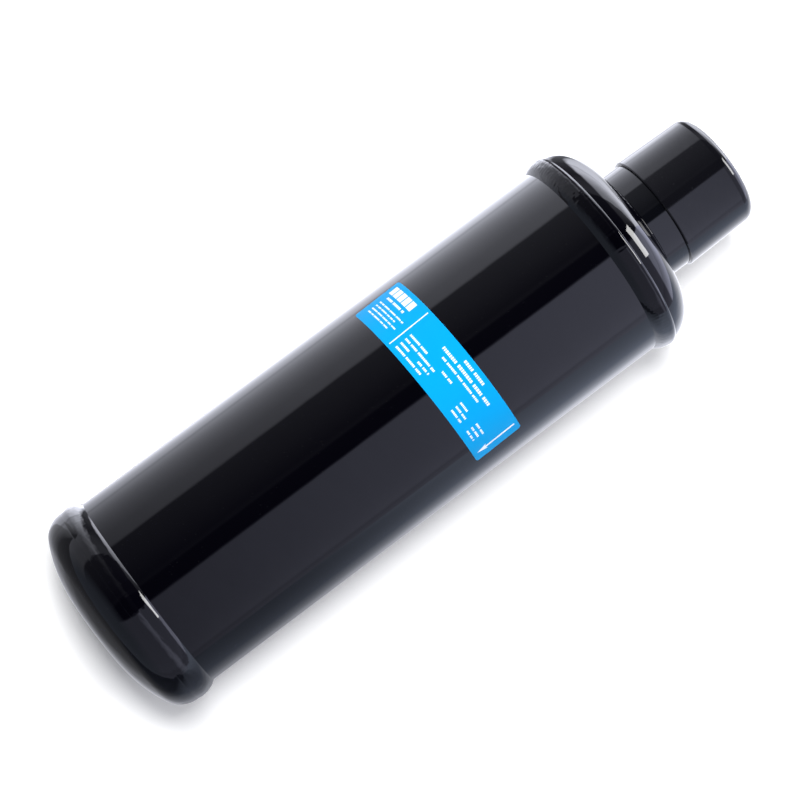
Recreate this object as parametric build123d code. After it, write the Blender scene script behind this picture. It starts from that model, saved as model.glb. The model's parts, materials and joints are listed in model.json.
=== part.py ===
from build123d import *
import math
import os

os.makedirs("parts", exist_ok=True)

# Filter drier for a refrigeration circuit: a steel vessel with two dished caps, a machined
# port head welded into the upper cap, and a spring-pressed bed of desiccant inside.
# It stands on the flat of its bottom cap. +Z is the vessel's axis, with the head at the top,
# and the origin is the middle of the flat that it stands on. All sizes are in millimetres.

# ---- vessel ----
shell_diameter = 76.2  # outside of the steel tube
shell_wall = 2.0
shell_length = 210.0  # cut length of the tube
cap_wall = 2.0  # sheet that both dished caps are drawn from
cap_fit = 0.05  # radial gap between the tube and the caps that slip over it

# ---- bottom cap ----
bottom_flat = 24.0  # diameter of the flat in the middle
bottom_crown = 50.0  # radius of the crown between flat and knuckle
bottom_knuckle = 9.7  # outside radius of the knuckle
bottom_skirt = 3.3  # straight part beyond the knuckle, over the tube

# ---- top cap ----
top_flat = 44.0  # flat seat that the port head stands on
top_crown = 100.0
top_knuckle = 13.3
top_skirt = 0.8

# ---- weld beads ----
bottom_bead_on_shell = 5.2  # how far the bead runs along the tube from the cap's lip
bottom_bead_on_cap = 2.9  # how far it runs back over the cap
bottom_bead_bulge = 0.95  # how far its face stands out from a straight line between its toes
top_bead_on_shell = 4.2
top_bead_on_cap = 3.4
top_bead_bulge = 1.2
head_weld_leg = 2.0  # fillet round the foot of the port head
head_weld_bulge = 0.3

# ---- port head ----
spigot_diameter = 40.8  # the part inside the dust cap
spigot_height = 22.0
spigot_chamfer = 0.8
neck_height = 10.3  # from the top cap to the shoulder that stops the dust cap
shoulder_width = 0.9  # how far the neck stands out past the spigot
root_step = 2.5  # how far the part through the top cap is set in from the neck
root_fit = 0.1  # radial gap between that part and its hole
root_depth = 1.8  # how far it stands out below the top cap's sheet
port_spacing = 19.0  # between the two ports
port_shift = 3.5  # how far both ports sit to the front of the axis
inlet_bore = 12.4
inlet_seat = 14.6  # counterbore for the seal ring round a pipe's end
outlet_bore = 10.4
outlet_seat = 12.6
seat_depth = 6.0
mouth_chamfer = 0.5
stud_core = 6.8  # core diameter of the M8 thread for the pipe block's screw
stud_depth = 16.0
stud_shift = 12.0  # how far the screw hole sits behind the axis
drill_point = 118.0  # angle of the cone that a drill leaves, in degrees

# ---- dust cap ----
dust_cap_wall = 1.6  # thickness at the open end
dust_cap_draft = 1.4  # degrees that its outside narrows towards the closed end
dust_cap_height = 29.8
dust_cap_gap = 0.3  # radial gap to the head
dust_cap_end = 1.5  # thickness of the closed end
dust_cap_corner = 4.4  # outside radius between side and end
dust_cap_lip = 0.7  # rounding of the open rim
rib_count = 6  # grip ribs inside the dust cap
rib_width = 1.4
rib_length = 18.0
rib_gap = 0.1  # what a rib leaves free of the head
rib_start = 1.5  # from the rim to the ribs
rib_root = 0.3  # how deep a rib is rooted in the wall

# ---- label ----
label_length = 79.0  # round the shell
label_height = 19.4
label_film = 0.12
label_middle = 148.4  # height of its middle above the foot
label_turn = -3.5  # degrees that its middle sits round from the front
label_slant = 2.4  # degrees that it was stuck on out of level
label_corner = 1.2

# ---- pick-up tube and strainer ----
tube_diameter = 12.0
tube_wall = 1.0
tube_socket = 8.0  # depth of its brazed socket in the head
tube_socket_fit = 0.05
tube_end_height = 15.0  # its open lower end above the foot
strainer_diameter = 20.0
strainer_wall = 0.8
strainer_height = 20.0
strainer_foot = 4.4  # underside of the strainer above the foot
strainer_collar = 3.0
slot_count = 10
slot_width = 2.4
slot_margin = 3.4  # left whole above and below the slots

# ---- desiccant pack ----
plate_sheet = 1.5
plate_rim = 6.5  # height of a perforated plate's rim, sheet included
plate_gap = 0.25  # radial gap between a plate and the shell
plate_bend = 2.6  # outside radius of the bend between plate and rim
perforation = 4.5
perforation_pitch = 11.0
perforation_margin = 2.2  # metal left round the edge and round the tube's hole
tube_hole_gap = 0.2  # radial gap round the tube in plates, screens, felts and bed
screen_thickness = 0.8
felt_thickness = 5.0
bed_gap = 0.15  # radial gap between felts or bed and the shell
ring_height = 25.0  # ring that carries the pack over the sump
ring_wall = 1.2
ring_gap = 0.15  # radial gap inside the lower plate's bend
window_count = 6
window_width = 14.0
window_height = 12.0
window_corner = 3.0
window_foot = 5.0  # from the ring's foot to its windows

# ---- spring ----
spring_height = 34.0  # pressed between its seat and the upper plate
spring_diameter = 52.0  # to the middle of the wire
spring_wire = 3.2
wire_flat_count = 12  # flats that stand for the round of the wire
spring_pitch = 9.0
seat_sheet = 1.5
seat_diameter = 57.0
seat_gap = 0.3  # radial gap between the seat and the head's root

shell_r = shell_diameter / 2
bore_r = shell_r - shell_wall
cap_r = shell_r + cap_fit + cap_wall
spigot_r = spigot_diameter / 2
neck_r = spigot_r + shoulder_width
root_r = neck_r - root_step
tube_r = tube_diameter / 2


class Dish:
    """Section of a dished cap, as radius and depth below the middle of its outside.

    A flat runs into a crown and the crown into a knuckle, tangent to each other.
    inset is 0 on the outside of the sheet and its thickness on the inside.
    """

    def __init__(self, flat, crown, knuckle):
        self.flat_r = flat / 2
        self.crown = crown
        self.knuckle = knuckle
        self.side_r = cap_r - knuckle
        reach = self.side_r - self.flat_r
        self.bend = math.asin(reach / (crown - knuckle))
        self.depth = crown - (crown - knuckle) * math.cos(self.bend)

    def on_crown(self, angle, inset):
        radius = self.crown - inset
        return (self.flat_r + radius * math.sin(angle), self.crown - radius * math.cos(angle))

    def on_knuckle(self, angle, inset):
        radius = self.knuckle - inset
        return (self.side_r + radius * math.sin(angle), self.depth - radius * math.cos(angle))

    def depth_at(self, radius, inset):
        """Depth of the surface at a radius outside the flat."""
        if radius < self.on_knuckle(self.bend, inset)[0]:
            return self.crown - math.sqrt((self.crown - inset) ** 2 - (radius - self.flat_r) ** 2)
        return self.depth - math.sqrt((self.knuckle - inset) ** 2 - (radius - self.side_r) ** 2)

    def outside_radius(self, depth):
        """Outside radius of knuckle or skirt at a depth."""
        above = max(self.depth - depth, 0)
        return self.side_r + math.sqrt(self.knuckle**2 - above**2)

    def edges(self, inset, start):
        """The surface's edges, from a start radius on the flat to the end of the knuckle."""
        joint = self.on_knuckle(self.bend, inset)
        middle = (self.bend + math.pi / 2) / 2
        return [
            Line((start, inset), (self.flat_r, inset)),
            ThreePointArc((self.flat_r, inset), self.on_crown(self.bend / 2, inset), joint),
            ThreePointArc(joint, self.on_knuckle(middle, inset), (cap_r - inset, self.depth)),
        ]


bottom_dish = Dish(bottom_flat, bottom_crown, bottom_knuckle)
top_dish = Dish(top_flat, top_crown, top_knuckle)

# ---- heights above the foot ----
shell_foot = bottom_dish.depth_at(shell_r, cap_wall)  # the tube's end seats in the knuckle
shell_top = shell_foot + shell_length
seat_z = shell_top + top_dish.depth_at(shell_r, cap_wall)  # flat that carries the head
shoulder_z = seat_z + neck_height
pad_z = shoulder_z + spigot_height
root_z = seat_z - cap_wall - root_depth


def spin(section):
    """Solid turned from a section drawn as radius and height."""
    return revolve(Plane.XZ * section, Axis.Z)


def turned(*points):
    """Solid turned from the corners of its section."""
    return spin(make_face(Polyline(*points, close=True)))


def rounded(section, corner, radius):
    """The section with the corner nearest to a point rounded."""
    return fillet(section.vertices().sort_by_distance(Vertex(*corner))[0], radius)


def disc(radius, thickness, z):
    """Round plate whose underside is at z."""
    return Pos(0, 0, z) * extrude(Circle(radius), thickness)


def turned_over(solid):
    """A top cap's piece, drawn with its outside middle at the origin, put in its place."""
    return Pos(0, 0, seat_z) * Rot(180, 0, 0) * solid


def shell_tube():
    return turned(
        (bore_r, shell_foot), (shell_r, shell_foot), (shell_r, shell_top), (bore_r, shell_top)
    )


def dished_cap(dish, skirt, hole_r=0.0):
    """Drawn cap, outside middle at the origin and open upwards."""
    lip = dish.depth + skirt
    inner_r = cap_r - cap_wall
    edges = dish.edges(0, hole_r) + dish.edges(cap_wall, hole_r)
    edges.append(Polyline((cap_r, dish.depth), (cap_r, lip), (inner_r, lip), (inner_r, dish.depth)))
    if hole_r:
        edges.append(Line((hole_r, 0), (hole_r, cap_wall)))
    else:
        edges.append(Line((0, 0), (0, cap_wall)))
    return spin(make_face([edge for line in edges for edge in line.edges()]))


def lap_weld(dish, skirt, reach_on_shell, reach_on_cap, bulge):
    """Bead round a cap's lip, in the cap's own frame. Its convex face runs out on both sides."""
    lip = dish.depth + skirt
    on_shell = Vector(shell_r, lip + reach_on_shell)
    toe = lip - reach_on_cap
    on_cap = Vector(dish.outside_radius(toe), toe)
    along = (on_shell - on_cap).normalized()
    crest = (on_shell + on_cap) / 2 + Vector(along.Y, -along.X) * bulge
    buried_r = cap_r - cap_wall / 2
    face = ThreePointArc(on_shell, crest, on_cap)
    back = Polyline(on_cap, (buried_r, toe), (buried_r, lip), (shell_r, lip), on_shell)
    return spin(make_face(face.edges() + back.edges())) - dished_cap(dish, skirt)


def bottom_weld():
    reach = (bottom_bead_on_shell, bottom_bead_on_cap)
    return lap_weld(bottom_dish, bottom_skirt, *reach, bottom_bead_bulge)


def top_weld():
    reach = (top_bead_on_shell, top_bead_on_cap)
    return turned_over(lap_weld(top_dish, top_skirt, *reach, top_bead_bulge))


def head_weld():
    """Fillet round the foot of the port head."""
    high = Vector(neck_r, seat_z + head_weld_leg)
    low = Vector(neck_r + head_weld_leg, seat_z)
    bulge = Vector(1, 1).normalized() * head_weld_bulge
    face = ThreePointArc(high, (high + low) / 2 + bulge, low)
    back = Polyline(low, (neck_r, seat_z), high)
    return spin(make_face(face.edges() + back.edges()))


inlet_at = (-port_spacing / 2, -port_shift)
outlet_at = (port_spacing / 2, -port_shift)
stud_at = (0, stud_shift)


def bored(at, diameter, bottom, top, chamfer=0.0):
    """Cutter for a hole with its mouth at the top."""
    r = diameter / 2
    profile = [(0, bottom), (r, bottom), (r, top - chamfer), (r + chamfer, top), (0, top)]
    if not chamfer:
        profile.pop(3)
    return Pos(*at, 0) * turned(*profile)


def drilled(at, diameter, depth, top, chamfer):
    """Cutter for a blind hole with a drill's cone at its end."""
    r = diameter / 2
    tip = r / math.tan(math.radians(drill_point / 2))
    profile = [(0, top - depth - tip), (r, top - depth), (r, top - chamfer), (r + chamfer, top), (0, top)]
    return Pos(*at, 0) * turned(*profile)


def port_head():
    """Turned head: root through the cap, neck with the dust cap's shoulder, and pad face."""
    body = turned(
        (0, root_z),
        (root_r, root_z),
        (root_r, seat_z),
        (neck_r, seat_z),
        (neck_r, shoulder_z),
        (spigot_r, shoulder_z),
        (spigot_r, pad_z - spigot_chamfer),
        (spigot_r - spigot_chamfer, pad_z),
        (0, pad_z),
    )
    body -= bored(inlet_at, inlet_bore, root_z, pad_z)
    body -= bored(inlet_at, inlet_seat, pad_z - seat_depth, pad_z, mouth_chamfer)
    body -= bored(outlet_at, outlet_bore, root_z, pad_z)
    body -= bored(outlet_at, outlet_seat, pad_z - seat_depth, pad_z, mouth_chamfer)
    body -= bored(outlet_at, tube_diameter + 2 * tube_socket_fit, root_z, root_z + tube_socket)
    body -= drilled(stud_at, stud_core, stud_depth, pad_z, mouth_chamfer)
    return body


def dust_cap():
    """Moulded cap pushed over the head, with grip ribs inside, its rim on the head's shoulder."""
    inner_r = spigot_r + dust_cap_gap
    rim_r = inner_r + dust_cap_wall
    end_r = rim_r - dust_cap_height * math.tan(math.radians(dust_cap_draft))
    inner_end = dust_cap_height - dust_cap_end
    corners = [(inner_r, 0), (rim_r, 0), (end_r, dust_cap_height), (0, dust_cap_height)]
    corners += [(0, inner_end), (inner_r, inner_end)]
    section = make_face(Polyline(*corners, close=True))
    section = rounded(section, (end_r, dust_cap_height), dust_cap_corner)
    section = rounded(section, (inner_r, inner_end), dust_cap_corner - dust_cap_end)
    section = rounded(section, (rim_r, 0), dust_cap_lip)
    body = spin(section)
    rib_r = spigot_r + rib_gap
    rib_depth = inner_r - rib_r + rib_root
    rib = Box(rib_depth, rib_width, rib_length, align=(Align.MIN, Align.CENTER, Align.MIN))
    for place in PolarLocations(rib_r, rib_count):
        body += Pos(0, 0, rib_start) * place * rib
    return Pos(0, 0, shoulder_z) * body


def label():
    """Printed film wound round the front of the shell on a slight slant."""
    slant = math.radians(label_slant)
    radius = shell_r + label_film / 2
    turn = label_length * math.cos(slant) / radius
    pitch = 2 * math.pi * radius * math.tan(slant)
    rise = pitch * turn / (2 * math.pi)
    path = Helix(pitch, rise, radius)
    start = Plane(origin=path @ 0, x_dir=(1, 0, 0), z_dir=path % 0)
    film = sweep(start * Rectangle(label_film, label_height), path=path, is_frenet=True)
    film = fillet(film.edges().sort_by(SortBy.LENGTH)[:4], label_corner)
    first = -90 + label_turn - math.degrees(turn) / 2
    return Pos(0, 0, label_middle - rise / 2) * Rot(0, 0, first) * film


def pickup_tube():
    top = root_z + tube_socket
    inner_r = tube_r - tube_wall
    tube = turned((inner_r, tube_end_height), (tube_r, tube_end_height), (tube_r, top), (inner_r, top))
    return Pos(*outlet_at, 0) * tube


def tube_strainer():
    """Slotted cup pressed on the lower end of the pick-up tube."""
    r = strainer_diameter / 2
    inner_r = r - strainer_wall
    collar_r = tube_r + strainer_wall
    under_lid = strainer_height - strainer_wall
    collar_top = strainer_height + strainer_collar
    cup = turned(
        (0, 0),
        (r, 0),
        (r, strainer_height),
        (collar_r, strainer_height),
        (collar_r, collar_top),
        (tube_r, collar_top),
        (tube_r, under_lid),
        (inner_r, under_lid),
        (inner_r, strainer_wall),
        (0, strainer_wall),
    )
    slot_length = strainer_height - 2 * slot_margin
    slot = Box(2 * strainer_wall, slot_width, slot_length)
    for place in PolarLocations(inner_r + strainer_wall / 2, slot_count):
        cup -= Pos(0, 0, strainer_height / 2) * place * slot
    return Pos(*outlet_at, strainer_foot) * cup


plate_r = bore_r - plate_gap
ring_r = plate_r - plate_bend - ring_gap
ring_inner_r = ring_r - ring_wall
ring_foot = bottom_dish.depth_at(ring_r, cap_wall)  # its outer edge stands on the crown
ring_top = ring_foot + ring_height
seat_r = seat_diameter / 2
seat_top = seat_z - top_dish.depth_at(seat_r, cap_wall)  # its edge bears on the top cap
spring_top = seat_top - seat_sheet
upper_plate_top = spring_top - spring_height
upper_screen_z = upper_plate_top - plate_sheet - screen_thickness
upper_felt_z = upper_screen_z - felt_thickness
lower_screen_z = ring_top + plate_sheet
lower_felt_z = lower_screen_z + screen_thickness
bed_z = lower_felt_z + felt_thickness
tube_hole_r = tube_r + tube_hole_gap


def support_ring():
    """Rolled ring that stands on the bottom cap and lets liquid through its windows."""
    ring = turned(
        (ring_inner_r, ring_foot), (ring_r, ring_foot), (ring_r, ring_top), (ring_inner_r, ring_top)
    )
    opening = extrude(Plane.YZ * RectangleRounded(window_width, window_height, window_corner), ring_r)
    middle = ring_foot + window_foot + window_height / 2
    for place in PolarLocations(ring_r / 2, window_count):
        ring -= Pos(0, 0, middle) * place * opening
    return ring


def perforation_places():
    """Middles of a plate's holes: a hexagonal grid that spares the edge and the tube's hole."""
    reach = ring_inner_r - perforation_margin - perforation / 2
    tube_keep = tube_hole_r + perforation_margin + perforation / 2
    row_step = perforation_pitch * math.sqrt(3) / 2
    rows = math.floor(reach / row_step)
    columns = math.floor(reach / perforation_pitch) + 1
    places = []
    for row in range(-rows, rows + 1):
        for column in range(-columns, columns + 1):
            x = (column + (row % 2) / 2) * perforation_pitch
            y = row * row_step
            if math.hypot(x, y) <= reach and math.dist((x, y), outlet_at) >= tube_keep:
                places.append((x, y))
    return places


def perforated_plate():
    """Pressed cup, open downwards with the top of its sheet at the origin."""
    inner_r = plate_r - plate_sheet
    corners = [(0, 0), (plate_r, 0), (plate_r, -plate_rim), (inner_r, -plate_rim)]
    corners += [(inner_r, -plate_sheet), (0, -plate_sheet)]
    section = make_face(Polyline(*corners, close=True))
    section = rounded(section, (plate_r, 0), plate_bend)
    section = rounded(section, (inner_r, -plate_sheet), plate_bend - plate_sheet)
    plate = spin(section)
    holes = Sketch() + [Pos(*at) * Circle(perforation / 2) for at in perforation_places()]
    holes += Pos(*outlet_at) * Circle(tube_hole_r)
    return plate - extrude(holes, -plate_sheet)


def lower_plate():
    return Pos(0, 0, ring_top + plate_sheet) * perforated_plate()


def upper_plate():
    """The same pressing with its rim up round the spring, and its holes where the tube is."""
    flat = perforated_plate()
    return Pos(0, 0, upper_plate_top - plate_sheet) * mirror(flat, Plane.XY)


def round_layer(radius, thickness, z):
    """Disc of the pack with a hole for the pick-up tube."""
    hole = Pos(*outlet_at, z) * extrude(Circle(tube_hole_r), thickness)
    return disc(radius, thickness, z) - hole


def spring_seat():
    """Flat washer round the head's root that carries the spring's push to the top cap."""
    hole_r = root_r + seat_gap
    return disc(seat_r, seat_sheet, spring_top) - disc(hole_r, seat_sheet, spring_top)


def bed_spring():
    """Compression spring with plain ends, which bear on the seat and the upper plate."""
    path = Helix(spring_pitch, spring_height - spring_wire, spring_diameter / 2)
    start = Plane(origin=path @ 0, x_dir=(1, 0, 0), z_dir=path % 0)
    section = RegularPolygon(spring_wire / 2, wire_flat_count)
    wire = sweep(start * section, path=path, is_frenet=True)
    return Pos(0, 0, upper_plate_top + spring_wire / 2) * wire


layer_r = bore_r - bed_gap

pieces = {
    "shell_tube": shell_tube(),
    "bottom_cap": dished_cap(bottom_dish, bottom_skirt),
    "top_cap": turned_over(dished_cap(top_dish, top_skirt, root_r + root_fit)),
    "bottom_weld": bottom_weld(),
    "top_weld": top_weld(),
    "head_weld": head_weld(),
    "port_head": port_head(),
    "dust_cap": dust_cap(),
    "label": label(),
    "pickup_tube": pickup_tube(),
    "tube_strainer": tube_strainer(),
    "support_ring": support_ring(),
    "lower_plate": lower_plate(),
    "lower_screen": round_layer(plate_r, screen_thickness, lower_screen_z),
    "lower_felt": round_layer(layer_r, felt_thickness, lower_felt_z),
    "desiccant_bed": round_layer(layer_r, upper_felt_z - bed_z, bed_z),
    "upper_felt": round_layer(layer_r, felt_thickness, upper_felt_z),
    "upper_screen": round_layer(plate_r, screen_thickness, upper_screen_z),
    "upper_plate": upper_plate(),
    "bed_spring": bed_spring(),
    "spring_seat": spring_seat(),
}

for name, piece in pieces.items():
    export_step(piece, f"parts/{name}.step")
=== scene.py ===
# %% [markdown]
# # A filter drier in glossy black paint
#
# A filter drier stands in the liquid line of a cooling unit. It is a steel vessel with two dished
# caps welded on, a machined head under a push-on dust cap, and a bed of desiccant inside.
# The model of its construction comes in as a fixed frame. This script adds the looks: weld ripples,
# print, thread, paint, plastic and film, and a small studio. All sizes are in metres.

# %% Load the frame
import json
import math
import random

import bmesh
import bpy
from mathutils import Matrix, Vector


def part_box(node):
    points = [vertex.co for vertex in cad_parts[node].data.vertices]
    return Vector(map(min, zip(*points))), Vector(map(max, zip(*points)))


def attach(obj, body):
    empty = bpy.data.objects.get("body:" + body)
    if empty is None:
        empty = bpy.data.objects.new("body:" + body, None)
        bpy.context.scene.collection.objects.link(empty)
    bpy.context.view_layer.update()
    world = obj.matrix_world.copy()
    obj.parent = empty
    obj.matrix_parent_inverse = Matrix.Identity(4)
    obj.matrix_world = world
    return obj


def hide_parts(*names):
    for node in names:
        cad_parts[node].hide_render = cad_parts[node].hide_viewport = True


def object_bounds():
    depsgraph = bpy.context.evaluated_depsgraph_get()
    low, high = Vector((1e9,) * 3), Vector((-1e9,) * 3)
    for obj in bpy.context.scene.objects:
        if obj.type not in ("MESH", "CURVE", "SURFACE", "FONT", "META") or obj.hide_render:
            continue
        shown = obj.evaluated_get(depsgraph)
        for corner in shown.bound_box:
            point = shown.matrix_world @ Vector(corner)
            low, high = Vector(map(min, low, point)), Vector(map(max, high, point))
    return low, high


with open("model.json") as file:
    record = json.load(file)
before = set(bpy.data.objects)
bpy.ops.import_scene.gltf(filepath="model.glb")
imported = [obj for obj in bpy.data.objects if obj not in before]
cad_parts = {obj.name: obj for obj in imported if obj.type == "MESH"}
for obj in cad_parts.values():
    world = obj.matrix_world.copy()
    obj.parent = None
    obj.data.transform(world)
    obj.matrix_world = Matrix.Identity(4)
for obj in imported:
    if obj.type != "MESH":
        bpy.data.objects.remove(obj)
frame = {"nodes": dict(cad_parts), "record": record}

cad_box = [list(corner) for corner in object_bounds()]
nodes = frame["nodes"]
mm = 0.001

# %% [markdown]
# ## Sizes that the frame gives
#
# Everything that is added later sits on the vessel, so its radius and heights are measured on
# the frame instead of being typed again. A changed vessel then carries its print and welds along.

# %% Measure the vessel
shell_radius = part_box("shell_tube")[1].x
shoulder_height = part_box("dust_cap")[0].z
same_height = 0.02 * mm


def outline_points(node_name):
    """Radius and height of each vertex of a turned node."""
    return [(math.hypot(v.co.x, v.co.y), v.co.z) for v in nodes[node_name].data.vertices]


def widest_at(points, height):
    """Largest radius of a turned node at a height."""
    return max(radius for radius, z in points if abs(z - height) < same_height)


print("shell radius", round(shell_radius / mm, 2), "mm")
print("shoulder of the head", round(shoulder_height / mm, 2), "mm up")

# %% [markdown]
# ## Small helpers
#
# A few helpers are used all the way through. Some make an object, from bare vertices and faces,
# and put it in the scene. The last of them gives a finished piece its place in the model: the
# body it rides on, the nodes it stands for, and the finish it is given.

# %% Helpers for pieces
def in_scene(thing):
    bpy.context.scene.collection.objects.link(thing)
    return thing


def mesh_object(name, vertices, faces, smooth=True):
    mesh = bpy.data.meshes.new(name)
    mesh.from_pydata(vertices, [], faces)
    mesh.update()
    for polygon in mesh.polygons:
        polygon.use_smooth = smooth
    return in_scene(bpy.data.objects.new(name, mesh))


def face_outwards(mesh):
    surface = bmesh.new()
    surface.from_mesh(mesh)
    bmesh.ops.recalc_face_normals(surface, faces=surface.faces)
    surface.to_mesh(mesh)
    surface.free()


def place(piece, material, stands_for=(), body="vessel"):
    piece.data.materials.clear()
    piece.data.materials.append(material)
    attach(piece, body)
    if stands_for:
        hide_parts(*stands_for)
    print(piece.name, "has", len(piece.data.polygons), "faces")


# %% [markdown]
# Materials and shapes are both made of node trees, and the same helpers build the two. An input of a
# node is either a plain value or a link from another node's output, and `fill` takes both, so a tree
# reads as a row of sums.

# %% Helpers for node trees
def fill(tree, node, inputs):
    """Gives a node's inputs their values or their links."""
    for key, value in inputs.items():
        socket = node.inputs[key]
        if isinstance(value, bpy.types.NodeSocket):
            tree.links.new(value, socket)
        else:
            socket.default_value = value


def add_node(tree, kind, inputs=None, **settings):
    node = tree.nodes.new(kind)
    for key, value in settings.items():
        setattr(node, key, value)
    fill(tree, node, inputs or {})
    return node


def new_tree(kind, name, inputs, outputs):
    """An empty node group with named inputs and outputs."""
    tree = bpy.data.node_groups.new(name, kind)
    for label, socket_kind in outputs:
        tree.interface.new_socket(label, in_out="OUTPUT", socket_type="NodeSocket" + socket_kind)
    for label, socket_kind, value in inputs:
        full_kind = "NodeSocket" + socket_kind
        socket = tree.interface.new_socket(label, in_out="INPUT", socket_type=full_kind)
        if value is not None:
            socket.default_value = value
    return tree, tree.nodes.new("NodeGroupInput").outputs, tree.nodes.new("NodeGroupOutput")


def calc(tree, operation, *values):
    """A Math node, given as its operation and its inputs in order."""
    return add_node(tree, "ShaderNodeMath", dict(enumerate(values)), operation=operation).outputs[0]


def remap(tree, value, from_min, from_max, to_min=0.0, to_max=1.0, **settings):
    inputs = {"Value": value, "From Min": from_min, "From Max": from_max}
    inputs.update({"To Min": to_min, "To Max": to_max})
    return add_node(tree, "ShaderNodeMapRange", inputs, **settings).outputs["Result"]


def separate(tree, vector):
    """The X, Y and Z of a vector."""
    return add_node(tree, "ShaderNodeSeparateXYZ", {"Vector": vector}).outputs


def combine(tree, x, y, z):
    return add_node(tree, "ShaderNodeCombineXYZ", {"X": x, "Y": y, "Z": z}).outputs["Vector"]


# %% Helpers for colours and patterns
def blend(tree, factor, first, second):
    """A colour between two others, each a plain colour or a link."""
    linked = bpy.types.NodeSocket
    ends = [colour if isinstance(colour, linked) else (*colour, 1) for colour in (first, second)]
    inputs = {"Factor": factor, "A": ends[0], "B": ends[1]}
    return add_node(tree, "ShaderNodeMix", inputs, data_type="RGBA").outputs["Result"]


def mix_shaders(tree, factor, first, second):
    mixed = add_node(tree, "ShaderNodeMixShader", {"Fac": factor, 1: first, 2: second})
    return mixed.outputs["Shader"]


def object_place(tree):
    """Where a point lies on its own piece."""
    return add_node(tree, "ShaderNodeTexCoord").outputs["Object"]


def clouds(tree, scale, **inputs):
    """Soft noise all over a piece."""
    inputs = {"Vector": object_place(tree), "Scale": scale, **inputs}
    return add_node(tree, "ShaderNodeTexNoise", inputs).outputs["Fac"]


def cells(tree, scale):
    """Distance to the middle of the nearest of many small cells."""
    inputs = {"Vector": object_place(tree), "Scale": scale}
    return add_node(tree, "ShaderNodeTexVoronoi", inputs).outputs["Distance"]


# %% [markdown]
# ## Shared effects for the finishes
#
# Sprayed paint is never as flat as glass: it dries with a soft waviness called orange peel. Dust and
# fine handling marks change how sharp the gloss is. Both effects are used by several finishes,
# so they are one node group with named inputs. A group puts out only values and normals, and
# the shader itself stays in the material.

# %% Group: orange peel and marks
smear_scale = 28.0
smear_range = (0.45, 0.75)
speck_scale = 420.0
speck_edge = (0.1, 0.06)


def paint_surface_group():
    group, given, result = new_tree(
        "ShaderNodeTree",
        "paint_surface",
        [
            ("Wave Scale", "Float", 90.0),
            ("Wave Height", "Float", 0.02 * mm),
            ("Roughness", "Float", 0.05),
            ("Marks", "Float", 0.05),
        ],
        [("Height", "Float"), ("Roughness", "Float"), ("Dust", "Float")],
    )
    wave = clouds(group, given["Wave Scale"], Detail=2.0, Roughness=0.45)
    smears = remap(group, clouds(group, smear_scale, Detail=6.0), *smear_range)
    outcome = {
        "Height": calc(group, "MULTIPLY", wave, given["Wave Height"]),
        "Roughness": calc(group, "MULTIPLY_ADD", smears, given["Marks"], given["Roughness"]),
        "Dust": remap(group, cells(group, speck_scale), *speck_edge),
    }
    fill(group, result, outcome)
    return group


paint_surface = paint_surface_group()
print("group", paint_surface.name, "with", len(paint_surface.nodes), "nodes")

# %% [markdown]
# ## Finishes
#
# Each finish below starts from an empty material with one Principled shader. The vessel and
# its welds are sprayed in one go after welding, so they share the same paint.

# %% Start a material
def start_material(name):
    material = bpy.data.materials.new(name)
    material.use_nodes = True
    tree = material.node_tree
    return material, tree, tree.nodes["Principled BSDF"]


def bump(tree, shader, height, strength=1.0, distance=1.0):
    """Makes a finish look raised where the height is larger."""
    inputs = {"Height": height, "Strength": strength, "Distance": distance}
    node = add_node(tree, "ShaderNodeBump", inputs)
    fill(tree, shader, {"Normal": node.outputs["Normal"]})


def coated(name, clean, dusty, **surface):
    """A glossy dark finish with orange peel, marks and dust."""
    material, tree, shader = start_material(name)
    group = add_node(tree, "ShaderNodeGroup", node_tree=paint_surface)
    fill(tree, group, {key.replace("_", " "): value for key, value in surface.items()})
    tint = blend(tree, group.outputs["Dust"], clean, dusty)
    fill(tree, shader, {"Base Color": tint, "Roughness": group.outputs["Roughness"]})
    bump(tree, shader, group.outputs["Height"])
    return material


# %% [markdown]
# ### Black paint
#
# Nearly all that is seen of glossy black paint is what it mirrors. The colour underneath is a very
# dark blue-black, with a trace of dust that lightens it. The drawn caps are less even than the
# tube, so the waviness is stronger there.

# %% Black paint
def black_paint(name, wave_scale, wave_height):
    clean, dusty = (0.0006, 0.0005, 0.0016), (0.004, 0.004, 0.005)
    waves = {"Wave_Scale": wave_scale, "Wave_Height": wave_height}
    return coated(name, clean, dusty, Roughness=0.035, Marks=0.05, **waves)


tube_paint = black_paint("black_paint_on_tube", 70.0, 0.04 * mm)
cap_paint = black_paint("black_paint_on_drawn_caps", 85.0, 0.2 * mm)
print("paints:", tube_paint.name, "and", cap_paint.name)

# %% [markdown]
# ### Plastic of the dust cap
#
# The cap is moulded in black plastic. Its mould was polished but less so than wet paint, so the
# gloss is a little softer and the skin has a finer grain.

# %% Black plastic
plastic = coated(
    "black_moulded_plastic",
    clean=(0.0035, 0.0035, 0.005),
    dusty=(0.012, 0.012, 0.014),
    Wave_Scale=260.0,
    Wave_Height=0.012 * mm,
    Roughness=0.07,
    Marks=0.08,
)
print("plastic:", plastic.name)

# %% [markdown]
# ### Blue film and white ink
#
# The label is a printed film. Its blue varies a little in soft clouds, and its skin is only half
# glossy, so the blue stays even under the bright room. The ink is a thin white layer on top.

# %% Film and ink
print_grain = 900.0


def printed(name, dark, light, cloud_scale, roughness, gloss):
    material, tree, shader = start_material(name)
    tint = blend(tree, clouds(tree, cloud_scale), dark, light)
    skin = {"Base Color": tint, "Roughness": roughness, "Specular IOR Level": gloss}
    fill(tree, shader, skin)
    bump(tree, shader, clouds(tree, print_grain), strength=0.1, distance=0.05 * mm)
    return material


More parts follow.
